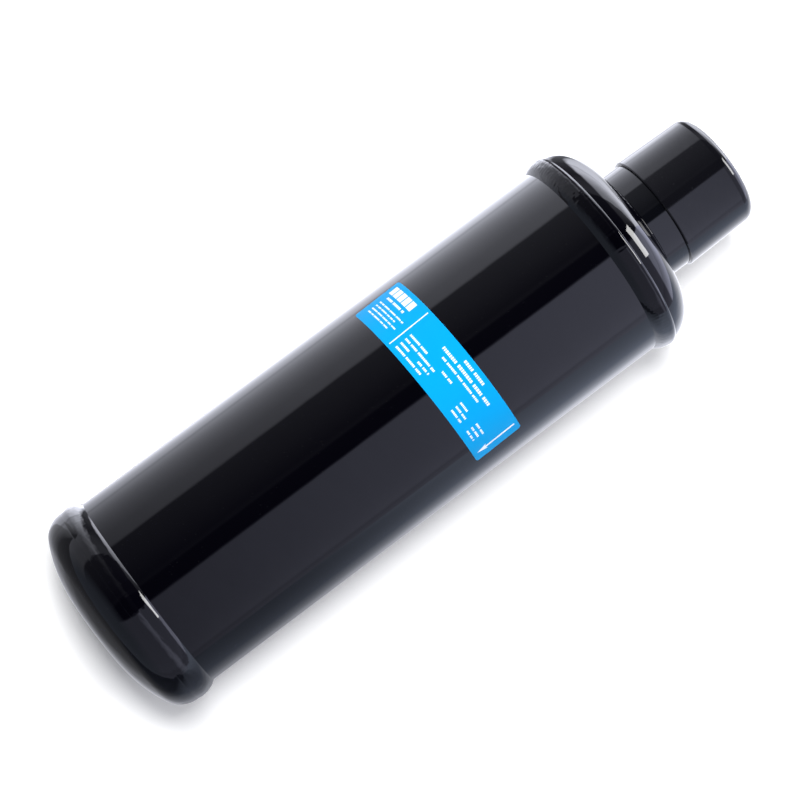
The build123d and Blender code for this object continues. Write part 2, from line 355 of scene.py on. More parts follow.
film = printed(
    "blue_label_film",
    dark=(0.0, 0.34, 0.76),
    light=(0.0, 0.38, 0.84),
    cloud_scale=35.0,
    roughness=0.5,
    gloss=0.2,
)
ink = printed(
    "white_ink",
    dark=(0.82, 0.93, 1.0),
    light=(0.95, 0.98, 1.0),
    cloud_scale=1500.0,
    roughness=0.4,
    gloss=0.4,
)
print("label:", film.name, "and", ink.name)

# %% [markdown]
# ### Turned steel
#
# The head is turned steel. Its neck was painted with the vessel, while the dust cap and its plugs
# kept the paint off the pad face, so the same piece is black below the shoulder and bare above.
# A mask on the height splits the two finishes inside one material, with a slightly ragged edge.

# %% Turned steel, painted up to the shoulder
turning_marks = 900.0
ragged_scale = 400.0
ragged_height = 0.4 * mm
mask_start = shoulder_height + 0.3 * mm
mask_end = shoulder_height + 0.5 * mm
neck_black = (0.0016, 0.0018, 0.003)
painted_roughness, turned_roughness = 0.06, 0.32


def head_metal():
    material, tree, shader = start_material("turned_head_steel")
    height = separate(tree, object_place(tree))["Z"]
    ragged = calc(tree, "MULTIPLY_ADD", clouds(tree, ragged_scale), ragged_height, height)
    bare = remap(tree, ragged, mask_start, mask_end)
    rings = add_node(
        tree,
        "ShaderNodeTexWave",
        {"Vector": object_place(tree), "Scale": turning_marks, "Distortion": 0.6, "Detail": 1.0},
        wave_type="RINGS",
        rings_direction="Z",
    ).outputs["Fac"]
    steel = blend(tree, rings, (0.42, 0.42, 0.43), (0.56, 0.56, 0.57))
    roughness = remap(tree, bare, 0.0, 1.0, painted_roughness, turned_roughness)
    tint = blend(tree, bare, neck_black, steel)
    fill(tree, shader, {"Base Color": tint, "Metallic": bare, "Roughness": roughness})
    bump(tree, shader, rings, strength=0.25, distance=0.02 * mm)
    return material


head_steel = head_metal()
print("bare steel starts", round(mask_start / mm, 2), "mm up")

# %% [markdown]
# ### Other metals
#
# The pieces inside are drawn tube, zinc plated sheet, spring wire and brass. They differ only in
# colour, gloss and the size of their grain, so one function makes them all.

# %% Plain metals
def plain_metal(name, dark, light, roughness, grain_scale):
    material, tree, shader = start_material(name)
    grain = clouds(tree, grain_scale, Detail=4.0)
    tint = blend(tree, grain, dark, light)
    fill(tree, shader, {"Base Color": tint, "Metallic": 1.0, "Roughness": roughness})
    bump(tree, shader, grain, strength=0.2, distance=0.05 * mm)
    return material


drawn_steel = plain_metal(
    "drawn_tube_steel",
    dark=(0.5, 0.5, 0.5),
    light=(0.62, 0.62, 0.62),
    roughness=0.3,
    grain_scale=300.0,
)
zinc_plate = plain_metal(
    "zinc_plated_sheet",
    dark=(0.45, 0.46, 0.47),
    light=(0.6, 0.61, 0.62),
    roughness=0.35,
    grain_scale=120.0,
)
spring_wire = plain_metal(
    "spring_wire",
    dark=(0.3, 0.3, 0.31),
    light=(0.42, 0.42, 0.43),
    roughness=0.3,
    grain_scale=400.0,
)
strainer_brass = plain_metal(
    "strainer_brass",
    dark=(0.6, 0.42, 0.16),
    light=(0.75, 0.56, 0.26),
    roughness=0.35,
    grain_scale=300.0,
)
print("metals:", ", ".join(m.name for m in (drawn_steel, zinc_plate, spring_wire, strainer_brass)))

# %% [markdown]
# ### Screens, felt and beads
#
# Inside the welded vessel nothing shows, but each piece still has the finish of the real one, for
# anyone who opens the model up. The screens are woven wire, which two crossed waves suggest, and
# the low gaps between the wires are painted near black, as shade. The felt is a fine fibrous skin,
# and the desiccant is a packed bed of small beads. Voronoi cells give both, at different sizes,
# and each cell turns darker towards its edge: painted shade in the gaps between beads and fibres.

# %% Woven wire, felt and beads
weave_scale = 260.0


def cell_material(name, dark, light, scale, roughness):
    material, tree, shader = start_material(name)
    distance = cells(tree, scale)
    # Darker towards the edge of each cell: painted shade in the gaps between the beads and between
    # the felt's fibres.
    tint = blend(tree, distance, light, dark)
    fill(tree, shader, {"Base Color": tint, "Roughness": roughness})
    bump(tree, shader, calc(tree, "SUBTRACT", 1.0, distance), strength=0.8, distance=0.8 * mm)
    return material


def woven_wire():
    material, tree, shader = start_material("woven_wire_screen")
    waves = []
    for direction in ("X", "Y"):
        inputs = {"Vector": object_place(tree), "Scale": weave_scale}
        wave = add_node(tree, "ShaderNodeTexWave", inputs, bands_direction=direction)
        waves.append(wave.outputs["Fac"])
    weave = calc(tree, "MAXIMUM", *waves)
    # Low in the weave, between the wires, the colour is painted near black: painted shade in the
    # gaps.
    tint = blend(tree, weave, (0.05, 0.05, 0.05), (0.6, 0.6, 0.6))
    fill(tree, shader, {"Base Color": tint, "Metallic": 1.0, "Roughness": 0.4})
    bump(tree, shader, weave, strength=0.6, distance=0.3 * mm)
    return material


wire_screen = woven_wire()
felt = cell_material(
    "needled_felt",
    dark=(0.62, 0.6, 0.54),
    light=(0.85, 0.84, 0.8),
    scale=900.0,
    roughness=0.95,
)
beads = cell_material(
    "desiccant_beads",
    dark=(0.3, 0.25, 0.17),
    light=(0.78, 0.7, 0.55),
    scale=420.0,
    roughness=0.8,
)
print("inside:", ", ".join(m.name for m in (wire_screen, felt, beads)))

# %% [markdown]
# ### Finishes on the frame's nodes
#
# The frame's solids are good enough to be seen as they are, apart from the three welds. Each of
# the others only needs its finish in place of the grey it comes with.

# %% Give the frame's own nodes their finishes
finishes = {
    "shell_tube": tube_paint,
    "bottom_cap": cap_paint,
    "top_cap": cap_paint,
    "port_head": head_steel,
    "dust_cap": plastic,
    "label": film,
    "pickup_tube": drawn_steel,
    "tube_strainer": strainer_brass,
    "support_ring": zinc_plate,
    "lower_plate": zinc_plate,
    "upper_plate": zinc_plate,
    "spring_seat": zinc_plate,
    "bed_spring": spring_wire,
    "lower_screen": wire_screen,
    "upper_screen": wire_screen,
    "lower_felt": felt,
    "upper_felt": felt,
    "desiccant_bed": beads,
}
for node_name, material in finishes.items():
    mesh = nodes[node_name].data
    mesh.materials.clear()
    mesh.materials.append(material)
print("finishes on", len(finishes), "nodes")

# %% [markdown]
# ## Weld beads
#
# The frame has each weld as a smooth ring. A real bead is laid in small steps round the joint, so
# its face has ripples, and where the torch started and stopped it is lumpy. A node tree makes such a
# ring from its two toes: a grid is bent once round the bead's section and once round the vessel.
# The toes and the bulge are measured on the frame's ring, which the new one stands for.
#
# The section runs from one toe to the other as a flat arch, and back through the steel underneath.
# With `c` as the cosine of the way round the section, the arch stands `1 - c ** power` high, and a
# higher power on one side gives that side a rounder shoulder.

# %% How far a bead stands out
sway_scale = 9.0
lump_scale = 26.0
lump_reach = (0.6, 0.95)
ripple_lean = 2.5


def seeded_noise(tree, place_of, seed, scale):
    """Noise from -0.5 to 0.5 that a seed changes."""
    inputs = {"Vector": place_of, "W": seed, "Scale": scale, "Detail": 3.0}
    noise = add_node(tree, "ShaderNodeTexNoise", inputs, noise_dimensions="4D")
    return calc(tree, "SUBTRACT", noise.outputs["Fac"], 0.5)


def bead_rise(tree, given, angle, ring, arch):
    """Bulge, ripples, lumps near the start of the weld, and slow sway."""
    sides = {0: ring, 1: given["Lump Direction"]}
    facing = add_node(tree, "ShaderNodeVectorMath", sides, operation="DOT_PRODUCT").outputs["Value"]
    near_start = remap(tree, facing, *lump_reach, interpolation_type="SMOOTHSTEP")
    lumps = calc(tree, "MULTIPLY", seeded_noise(tree, ring, given["Seed"], lump_scale), near_start)
    lean = calc(tree, "MULTIPLY", arch, ripple_lean)
    phase = calc(tree, "MULTIPLY_ADD", angle, given["Ripples"], lean)
    rise = calc(tree, "MULTIPLY", calc(tree, "SINE", phase), given["Ripple Height"])
    rise = calc(tree, "MULTIPLY_ADD", lumps, calc(tree, "MULTIPLY", given["Lump Height"], 2.0), rise)
    sway = seeded_noise(tree, ring, given["Seed"], sway_scale)
    return calc(tree, "MULTIPLY_ADD", sway, given["Sway"], calc(tree, "ADD", rise, given["Bulge"]))


def off_chord(tree, given, across, lift):
    """Radius and height of a point that stands square off the chord between the toes."""
    span_r = calc(tree, "SUBTRACT", given["Cap Toe Radius"], given["Shell Toe Radius"])
    span_z = calc(tree, "SUBTRACT", given["Cap Toe Height"], given["Shell Toe Height"])
    squares = [calc(tree, "POWER", span, 2.0) for span in (span_r, span_z)]
    length = calc(tree, "SQRT", calc(tree, "ADD", *squares))
    along = remap(tree, across, -1.0, 1.0)
    radius = calc(tree, "MULTIPLY_ADD", span_r, along, given["Shell Toe Radius"])
    height = calc(tree, "MULTIPLY_ADD", span_z, along, given["Shell Toe Height"])
    square = calc(tree, "DIVIDE", lift, length)
    drop = calc(tree, "MULTIPLY", calc(tree, "MULTIPLY", square, span_r), calc(tree, "SIGN", span_z))
    radius = calc(tree, "MULTIPLY_ADD", square, calc(tree, "ABSOLUTE", span_z), radius)
    return radius, calc(tree, "SUBTRACT", height, drop)


# %% [markdown]
# Each tree for a shape ends in the same three nodes: smooth faces, instances made real, and the
# material. The bead's tree bends a flat grid. Its X runs round the vessel and its Y round the
# section, where the upper half is the face and the lower half is the hidden back.

# %% Node tree: a rippled bead
section_points = 49
seam_distance = 0.002 * mm


def reshaped(tree, kind, geometry, **inputs):
    """A node that takes a geometry and gives one back."""
    return add_node(tree, kind, {"Geometry": geometry, **inputs}).outputs["Geometry"]


def finish_shape(tree, geometry, material, result):
    smooth = reshaped(tree, "GeometryNodeSetShadeSmooth", geometry)
    real = reshaped(tree, "GeometryNodeRealizeInstances", smooth)
    painted = reshaped(tree, "GeometryNodeSetMaterial", real, Material=material)
    fill(tree, result, {"Geometry": painted})


def bead_tree():
    tree, given, result = new_tree(
        "GeometryNodeTree",
        "rippled_bead",
        [
            ("Shell Toe Radius", "Float", 38.0 * mm),
            ("Shell Toe Height", "Float", 0.0),
            ("Cap Toe Radius", "Float", 40.0 * mm),
            ("Cap Toe Height", "Float", 8.0 * mm),
            ("Bulge", "Float", 1.0 * mm),
            ("Depth", "Float", 1.0 * mm),
            ("Shell Power", "Float", 2.0),
            ("Cap Power", "Float", 2.0),
            ("Ripples", "Float", 150.0),
            ("Ripple Height", "Float", 0.007 * mm),
            ("Sway", "Float", 0.22 * mm),
            ("Lump Height", "Float", 0.3 * mm),
            ("Lump Direction", "Vector", (-0.8, -0.6, 0.0)),
            ("Steps Round", "Int", 900),
            ("Seed", "Float", 0.0),
            ("Material", "Material", None),
        ],
        [("Geometry", "Geometry")],
    )
    size = {"Size X": math.tau, "Size Y": math.tau}
    points = {"Vertices X": calc(tree, "ADD", given["Steps Round"], 1), "Vertices Y": section_points}
    grid = add_node(tree, "GeometryNodeMeshGrid", {**size, **points}).outputs["Mesh"]
    flat = separate(tree, add_node(tree, "GeometryNodeInputPosition").outputs["Position"])
    turn = calc(tree, "COSINE", flat["X"]), calc(tree, "SINE", flat["X"])
    across = calc(tree, "COSINE", flat["Y"])
    on_cap = calc(tree, "GREATER_THAN", across, 0.0)
    power = remap(tree, on_cap, 0.0, 1.0, given["Shell Power"], given["Cap Power"])
    arch = calc(tree, "SUBTRACT", 1.0, calc(tree, "POWER", calc(tree, "ABSOLUTE", across), power))

    rise = bead_rise(tree, given, flat["X"], combine(tree, *turn, across), arch)
    outside = calc(tree, "GREATER_THAN", flat["Y"], 0.0)
    face = calc(tree, "MULTIPLY", rise, outside)
    back = calc(tree, "MULTIPLY", given["Depth"], calc(tree, "SUBTRACT", 1.0, outside))
    lift = calc(tree, "MULTIPLY", arch, calc(tree, "SUBTRACT", face, back))
    radius, height = off_chord(tree, given, across, lift)

    x, y = [calc(tree, "MULTIPLY", radius, part) for part in turn]
    bent = reshaped(tree, "GeometryNodeSetPosition", grid, Position=combine(tree, x, y, height))
    closed = reshaped(tree, "GeometryNodeMergeByDistance", bent, Distance=seam_distance)
    finish_shape(tree, closed, given["Material"], result)
    return tree


bead = bead_tree()
print("tree", bead.name, "with", len(bead.nodes), "nodes")

# %% [markdown]
# One helper turns a node tree and its values into a finished mesh. The modifier is gone
# afterwards, so what is left is an ordinary piece. A weld's toes are its lowest and highest rings,
# and only the top weld has the toe on its cap at the top. The head's weld sits on the top cap, and
# there the neck takes the part of the shell.

# %% Lay the welds
def grown(name, tree, **values):
    """A plain mesh object, made by a node tree."""
    seed = mesh_object(name + "_seed", [], [])
    modifier = seed.modifiers.new("shape", "NODES")
    modifier.node_group = tree
    for item in tree.interface.items_tree:
        key = item.name.replace(" ", "_")
        if item.in_out == "INPUT" and key in values:
            modifier[item.identifier] = values[key]
    seen = seed.evaluated_get(bpy.context.evaluated_depsgraph_get())
    mesh = bpy.data.meshes.new_from_object(seen)
    bpy.data.objects.remove(seed)
    mesh.name = name
    face_outwards(mesh)
    return in_scene(bpy.data.objects.new(name, mesh))


def weld(node_name, cap_toe_on_top, **values):
    """A rippled bead in place of a weld of the frame."""
    points = outline_points(node_name)
    heights = [corner.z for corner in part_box(node_name)]
    if not cap_toe_on_top:
        heights.reverse()
    shell_toe, cap_toe = [Vector((widest_at(points, height), height)) for height in heights]
    span = cap_toe - shell_toe
    chord = span.normalized()
    out = Vector((chord.y, -chord.x)) * (1 if cap_toe_on_top else -1)
    bulge = max((Vector(point) - shell_toe).dot(out) for point in points)
    print(node_name, "bulges", round(bulge / mm, 2), "mm over", round(span.length / mm, 2))
    piece = grown(
        node_name + "_rippled",
        bead,
        Shell_Toe_Radius=shell_toe.x,
        Shell_Toe_Height=shell_toe.y,
        Cap_Toe_Radius=cap_toe.x,
        Cap_Toe_Height=cap_toe.y,
        Bulge=bulge,
        Material=cap_paint,
        **values,
    )
    place(piece, cap_paint, [node_name])


weld(
    "bottom_weld",
    cap_toe_on_top=False,
    Depth=0.9 * mm,
    Shell_Power=2.6,
    Ripple_Height=0.003 * mm,
    Lump_Height=0.04 * mm,
    Seed=3.0,
)
weld(
    "top_weld",
    cap_toe_on_top=True,
    Depth=0.9 * mm,
    Cap_Power=5.0,
    Lump_Height=0.16 * mm,
    Seed=5.0,
)
weld(
    "head_weld",
    cap_toe_on_top=False,
    Depth=1.2 * mm,
    Ripples=90.0,
    Sway=0.1 * mm,
    Seed=8.0,
)

# %% [markdown]
# ## Thread in the screw hole
#
# The frame has the hole for the pipe block's screw as a plain hole of the thread's core. The thread
# itself is a groove cut outwards from the core, so what a cut-away shows is a ridge between two
# grooves. A low ridge that winds up the core's wall reads as that thread from above.

# %% Node tree: a ridge on a helix
helix_steps = 32
ridge_sides = 6


def thread_tree():
    tree, given, result = new_tree(
        "GeometryNodeTree",
        "thread_ridge",
        [
            ("Radius", "Float", 3.4 * mm),
            ("Pitch", "Float", 1.25 * mm),
            ("Turns", "Float", 11.0),
            ("Ridge", "Float", 0.3 * mm),
            ("Middle", "Vector", (0.0, 0.0, 0.0)),
            ("Material", "Material", None),
        ],
        [("Geometry", "Geometry")],
    )
    helix = add_node(
        tree,
        "GeometryNodeCurveSpiral",
        {
            "Resolution": helix_steps,
            "Rotations": given["Turns"],
            "Start Radius": given["Radius"],
            "End Radius": given["Radius"],
            "Height": calc(tree, "MULTIPLY", given["Pitch"], given["Turns"]),
        },
    ).outputs["Curve"]
    circle = {"Resolution": ridge_sides, "Radius": given["Ridge"]}
    section = add_node(tree, "GeometryNodeCurvePrimitiveCircle", circle).outputs["Curve"]
    sweep = {"Curve": helix, "Profile Curve": section, "Fill Caps": True}
    ridge = add_node(tree, "GeometryNodeCurveToMesh", sweep).outputs["Mesh"]
    moved = reshaped(tree, "GeometryNodeTransform", ridge, Translation=given["Middle"])
    finish_shape(tree, moved, given["Material"], result)
    return tree


# %% Wind the thread
thread_pitch = 1.25 * mm
thread_turns = 11.0
ridge_radius = 0.3 * mm
screw_hole = next(m for m in frame["record"]["mounts"] if m["name"] == "block_screw_hole")
thread_core = screw_hole["dims"]["r_mm"] * mm
hole_x, hole_y, hole_z = screw_hole["pos_m"]
place(
    grown(
        "screw_hole_thread",
        thread_tree(),
        Radius=thread_core,
        Pitch=thread_pitch,
        Turns=thread_turns,
        Ridge=ridge_radius,
        Middle=(hole_x, hole_y, hole_z - thread_pitch * thread_turns / 2),
        Material=head_steel,
    ),
    head_steel,
)

# %% [markdown]
# ## Print on the label
#
# The film is stuck on with a slight slant. Its print is made of plain white shapes: bars for a
# heading, rows of blocks where small print goes, a dividing line, and a flow arrow that points
# to the foot. Each shape is drawn flat in the label's own frame, with u along the label and
# v across it, cut into narrow strips, and wound on to the shell's radius.

# %% Wind flat shapes round the shell
label_low, label_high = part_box("label")
label_middle = (label_low.z + label_high.z) / 2
label_angles = [math.atan2(v.co.x, -v.co.y) for v in nodes["label"].data.vertices]
label_turn = (min(label_angles) + max(label_angles)) / 2
label_slant = math.radians(2.4)
film_thickness = 0.12 * mm
film_face = shell_radius + film_thickness
ink_height = 0.03 * mm
strip_width = 0.5 * mm


def on_shell(u, v, lift):
    """A point of the label's flat frame, wound on to the film."""
    along = u * math.cos(label_slant) - v * math.sin(label_slant)
    height = u * math.sin(label_slant) + v * math.cos(label_slant)
    angle = label_turn + along / shell_radius
    radius = film_face + lift
    return (radius * math.sin(angle), -radius * math.cos(angle), label_middle + height)


def wound_bar(left, right, low, high):
    """A rectangle of ink, as vertices and faces of a thin plate on the film."""
    steps = max(1, math.ceil((right - left) / strip_width))
    section = ((low, -ink_height), (high, -ink_height), (high, ink_height), (low, ink_height))
    vertices = []
    for step in range(steps + 1):
        u = left + (right - left) * step / steps
        vertices += [on_shell(u, v, lift) for v, lift in section]
    faces = [(0, 1, 2, 3), tuple(4 * steps + corner for corner in (3, 2, 1, 0))]
    for step in range(steps):
        here = 4 * step
        there = here + 4
        for side in range(4):
            after = (side + 1) % 4
            faces.append((here + side, there + side, there + after, here + after))
    return vertices, faces


print("the label's middle is", round(label_middle / mm, 2), "mm up")
print("its print is wound on at radius", round(film_face / mm, 2), "mm")

# %% [markdown]
# Small print is suggested by rows of small blocks, grouped like words, from a random generator with
# a fixed seed, so each run gives the same label. No block forms a letter.

# %% A row of small print
blocks = random.Random(7)
word_lengths = (3, 8)
block_widths = (0.45, 0.75)
block_gap = 0.22
word_gap = 0.7


def word_row(left, right, middle, height):
    """Blocks for one line of small print. Widths and gaps are shares of its height."""
    bars = []
    u = left
    while u < right:
        for _ in range(blocks.randint(*word_lengths)):
            width = height * blocks.uniform(*block_widths)
            if u + width > right:
                return bars
            bars.append((u, u + width, middle - height / 2, middle + height / 2))
            u += width + block_gap * height
        u += word_gap * height
    return bars


# %% [markdown]
# The rows stand where a label of this kind has them: a sender on the left of the dividing line, a
# title and a list of values with their names on the right, and two short columns at the end.

# %% Solid bars of the print
divider = -17.2 * mm
divider_half_width = 0.2 * mm
divider_low, divider_high = -8.4 * mm, 8.6 * mm
heading_blocks = 5
heading_start_mm, heading_step_mm = -37.0, 3.0
heading_width = 2.5 * mm
heading_low, heading_high = 4.2 * mm, 7.8 * mm

bars = [(divider - divider_half_width, divider + divider_half_width, divider_low, divider_high)]
for block in range(heading_blocks):
    left = (heading_start_mm + heading_step_mm * block) * mm
    bars.append((left, left + heading_width, heading_low, heading_high))
print("print starts with", len(bars), "solid bars")

# %% Rows of small print, each as left end, right end, middle and height in millimetres
sender_name = (-35.0, -23.5, 2.5, 0.95)
sender_left, sender_right, sender_short_by = -36.0, -20.0, 2.6
sender_lines, sender_top, sender_step, sender_size = 4, -0.2, 1.7, 0.6
title_rows = [(4.2, 15.0, 7.3, 1.1), (-4.0, 23.5, 4.6, 1.15), (-1.5, 18.5, 2.2, 0.8)]
name_left, value_width = -14.8, 5.8
name_and_value_ends = ((-5.6, 8.0), (-4.0, 1.6), (-9.5, 0.2), (-1.5, None))
value_top, value_step, value_size = -1.0, 2.1, 0.8
first_column, first_column_grows = (14.5, 19.0), 1.4
second_column = (24.5, 30.0)
column_lines, column_top, column_step, column_size = 3, -2.6, 2.0, 0.75

rows = [sender_name]
for line in range(sender_lines):
    right = sender_right - sender_short_by * (line % 2)
    rows.append((sender_left, right, sender_top - sender_step * line, sender_size))
rows += title_rows
for line, (name_end, value_end) in enumerate(name_and_value_ends):
    middle = value_top - value_step * line
    rows.append((name_left, name_end, middle, value_size))
    if value_end:
        rows.append((value_end - value_width, value_end, middle, value_size))
for line in range(column_lines):
    middle = column_top - column_step * line
    left, right = first_column
    rows.append((left, right + first_column_grows * (line > 0), middle, column_size))
    rows.append((*second_column, middle, column_size))
for row in rows:
    bars += word_row(*(side * mm for side in row))
print("print has", len(bars), "bars")

# %% [markdown]
# The arrow tells the fitter which way the refrigerant flows. Its shaft is one more bar, and its head
# is a slim triangle with a notch at the back, which needs faces of its own.

# %% Arrow and the finished print
arrow_u = 35.6 * mm
arrow_tail = 8.2 * mm
arrow_tip = -8.0 * mm
arrow_head = 4.2 * mm
head_half_width = 1.15 * mm
head_notch = 0.75
shaft_half_width = 0.32 * mm
shaft_end = arrow_tip + 3.0 * mm


def wound_arrow_head():
    """The arrow's head, as vertices and faces of a thin plate on the film."""
    back = arrow_tip + arrow_head
    outline = [
        (arrow_u, arrow_tip),
        (arrow_u + head_half_width, back),
        (arrow_u, arrow_tip + head_notch * arrow_head),
        (arrow_u - head_half_width, back),
    ]
    vertices = [on_shell(u, v, lift) for lift in (-ink_height, ink_height) for u, v in outline]
    faces = [(4, 5, 6), (4, 6, 7), (2, 1, 0), (3, 2, 0)]
    for side in range(4):
        after = (side + 1) % 4
        faces.append((side, after, 4 + after, 4 + side))
    return vertices, faces


def label_print():
    """All the ink as one mesh."""
    shapes = [wound_bar(*bar) for bar in bars]
    shaft_sides = arrow_u - shaft_half_width, arrow_u + shaft_half_width
    shapes.append(wound_bar(*shaft_sides, shaft_end, arrow_tail))
    shapes.append(wound_arrow_head())
    vertices = []
    faces = []
    for shape_vertices, shape_faces in shapes:
        first = len(vertices)
        vertices += shape_vertices
        faces += [tuple(first + index for index in face) for face in shape_faces]
    piece = mesh_object("label_print", vertices, faces, smooth=False)
    face_outwards(piece.data)
    return piece


place(label_print(), ink)

# %% [markdown]
# ## Stage
#
# The camera looks straight down on a drier that lies on a plain white floor. The model itself stays
# upright, so here that floor stands close behind it. It only shows from the front, which leaves
# the back of the vessel open to view.
#
# What the camera sees of it is a pale matt surface, lifted a little by light of its own, which
# leaves a soft shadow beside the vessel. What the gloss sees of it is painted instead: pale next to
# the vessel, greyer further to the right, brighter upwards, and dim below the foot. A strip of
# shade lies right beside the shell. To the left the floor is left out of the gloss, which sees the
# bright side of the room there.

# %% How the gloss sees the floor
near_paleness = (1.0, 1.02, 1.12)
far_paleness = (0.42, 0.48, 0.62)
paleness_fade = (45 * mm, 115 * mm)
climb_heights, climb_levels = (40 * mm, 210 * mm), (0.7, 1.9)
dim_heights, dim_levels = (-50 * mm, 0.0), (0.2, 0.7)
no_dimming = 2.0
shade_left = 30 * mm
shade_fade, shade_levels = (50 * mm, 62 * mm), (0.36, 0.0)
shade_top = (225 * mm, 240 * mm)


def floor_in_gloss(tree, parts, above_foot):
    """Brightness and tint of the floor as the gloss sees them."""
    climb = remap(tree, parts["Z"], *climb_heights, *climb_levels, interpolation_type="SMOOTHSTEP")
    dim = remap(tree, parts["Z"], *dim_heights, *dim_levels)
    limit = calc(tree, "ADD", dim, calc(tree, "MULTIPLY", above_foot, no_dimming))
    climb = calc(tree, "MINIMUM", climb, limit)
    shade = calc(tree, "MULTIPLY", above_foot, calc(tree, "GREATER_THAN", parts["X"], shade_left))
    shade = calc(tree, "MULTIPLY", shade, remap(tree, parts["Z"], *shade_top, 1.0, 0.0))
    shade = calc(tree, "MULTIPLY", shade, remap(tree, parts["X"], *shade_fade, *shade_levels))
    brightness = calc(tree, "MULTIPLY", climb, calc(tree, "SUBTRACT", 1.0, shade))
    tint = blend(tree, remap(tree, parts["X"], *paleness_fade), near_paleness, far_paleness)
    return brightness, tint


# %% The floor's material
own_light = 0.24
open_side = -46 * mm
floor_white = (0.9, 0.9, 0.9)


def white_floor():
    material, tree, shader = start_material("white_floor")
    parts = separate(tree, object_place(tree))
    above_foot = calc(tree, "GREATER_THAN", parts["Z"], 0.0)
    rays = add_node(tree, "ShaderNodeLightPath").outputs
    in_gloss = rays["Is Glossy Ray"]
    brightness, tint = floor_in_gloss(tree, parts, above_foot)
    glow = calc(tree, "MULTIPLY", rays["Is Camera Ray"], own_light)
    looks = {
        "Base Color": blend(tree, in_gloss, floor_white, (0, 0, 0)),
        "Roughness": 1.0,
        "Specular IOR Level": 0.0,
        "Emission Color": blend(tree, in_gloss, (1, 1, 1), tint),
        "Emission Strength": calc(tree, "MULTIPLY_ADD", in_gloss, brightness, glow),
    }
    fill(tree, shader, looks)

    back = add_node(tree, "ShaderNodeNewGeometry").outputs["Backfacing"]
    beside = calc(tree, "LESS_THAN", parts["X"], open_side)
    left_out = calc(tree, "MULTIPLY", calc(tree, "MULTIPLY", beside, above_foot), in_gloss)
    see_through = calc(tree, "MAXIMUM", back, left_out)
    clear = add_node(tree, "ShaderNodeBsdfTransparent").outputs["BSDF"]
    surface = mix_shaders(tree, see_through, shader.outputs["BSDF"], clear)
    fill(tree, tree.nodes["Material Output"], {"Surface": surface})
    return material


# %% Stand the floor behind the vessel
floor_gap = 0.6 * mm
floor_y = cad_box[1][1] + floor_gap
floor_left, floor_right = -0.6, 1.2
floor_foot, floor_top = -0.5, 0.38
floor_corners = [
    (floor_left, floor_y, floor_foot),
    (floor_right, floor_y, floor_foot),
    (floor_right, floor_y, floor_top),
    (floor_left, floor_y, floor_top),
]
floor = mesh_object("floor", floor_corners, [(0, 1, 2, 3)])
floor.data.materials.append(white_floor())
print("the floor is", round(floor_y / mm, 1), "mm behind the axis")

# %% [markdown]
# ## Surroundings
#
# A glossy black cylinder shows its surroundings as bands along its length. Here they are painted
# into the world by compass direction: dark behind the camera, a bright panel to the left, a dim room
# to the right. Azimuth is 0 straight to the front of the vessel, and grows to the right. A colour
# ramp holds the brightness for each direction.
#
# A second factor goes by height, which shows on the dished caps. The walls get brighter upwards to
# about 15 degrees, and above that they are dim, most of all at the back on the left. The ceiling is
# bright, hangs lower at the back and fades there, and the ground is a plain grey blue. Heights are
# sines of the angle above the horizon, and turns are parts of the direction along X or Y.

# %% Brightness by height
wall_heights, wall_levels = (-0.05, 0.2), (0.75, 2.0)
upper_heights = (0.24, 0.34)
left_turn, left_levels = (-0.2, 0.15), (0.55, 0.15)
right_turn, right_level = (-0.1, 0.1), 0.9
ceiling_lean = 0.35
ceiling_edge = (0.7, 0.76)
ceiling_turn, ceiling_levels = (0.3, 0.85), (3.6, 0.7)


def level_by_height(tree, parts):
    """How much brighter a direction is than the ramp says."""
    wall = remap(tree, parts["Z"], *wall_heights, *wall_levels)
    upper_left = remap(tree, parts["Y"], *left_turn, *left_levels)
    upper_right = calc(tree, "MULTIPLY", remap(tree, parts["X"], *right_turn), right_level)
    upper_wall = calc(tree, "MAXIMUM", upper_left, upper_right)
    wall = remap(tree, remap(tree, parts["Z"], *upper_heights), 0.0, 1.0, wall, upper_wall)
    leaning = calc(tree, "MULTIPLY_ADD", parts["Y"], ceiling_lean, parts["Z"])
    under_ceiling = remap(tree, leaning, *ceiling_edge)
    ceiling_level = remap(tree, parts["Y"], *ceiling_turn, *ceiling_levels)
    return calc(tree, "MAXIMUM", wall, calc(tree, "MULTIPLY", under_ceiling, ceiling_level))


# %% Brightness round the horizon, as azimuth in degrees and level
brightness_round = [
    (-180, 2.0),
    (-133, 2.1),
    (-130, 1.3),
    (-127, 1.9),
    (-112, 1.5),
    (-95, 1.15),
    (-80, 0.9),
    (-65, 0.85),
    (-62, 0.19),
    (-38, 0.13),
    (-16, 0.06),
    (-11, 0.08),
    (-9, 0.02),
    (8, 0.01),
    (10, 0.45),
    (84, 0.48),
    (87, 0.36),
    (91, 0.40),
    (180, 1.0),
]
left_tint = (0.82, 0.84, 0.95)
right_tint = (1.12, 1.16, 1.5)


def colour_round(tree, parts):
    """Colour of the walls by azimuth, and the level that the ramp's full brightness stands for."""
    azimuth = calc(tree, "ARCTAN2", parts["X"], calc(tree, "MULTIPLY", parts["Y"], -1.0))
    ramp = add_node(tree, "ShaderNodeValToRGB", {"Fac": remap(tree, azimuth, -math.pi, math.pi)})
    elements = ramp.color_ramp.elements
    while len(elements) < len(brightness_round):
        elements.new(1.0)
    brightest = max(level for _, level in brightness_round)
    for element, (degrees, level) in zip(elements, brightness_round):
        tint = left_tint if degrees < 0 else right_tint
        element.position = (degrees + 180) / 360
        element.color = (*(level / brightest * part for part in tint), 1)
    return ramp.outputs["Color"], brightest


print("surroundings have", len(brightness_round), "steps round")

# %% [markdown]
# The world then puts the two together. Matt surfaces see it dimmed, so that their light comes
# mostly from the lamps, and the camera itself sees plain white behind the floor's edge.

# %% Paint the world
ground = (0.28, 0.32, 0.4)
ground_heights = (-0.4, -0.8)
level_for_matt = 0.35


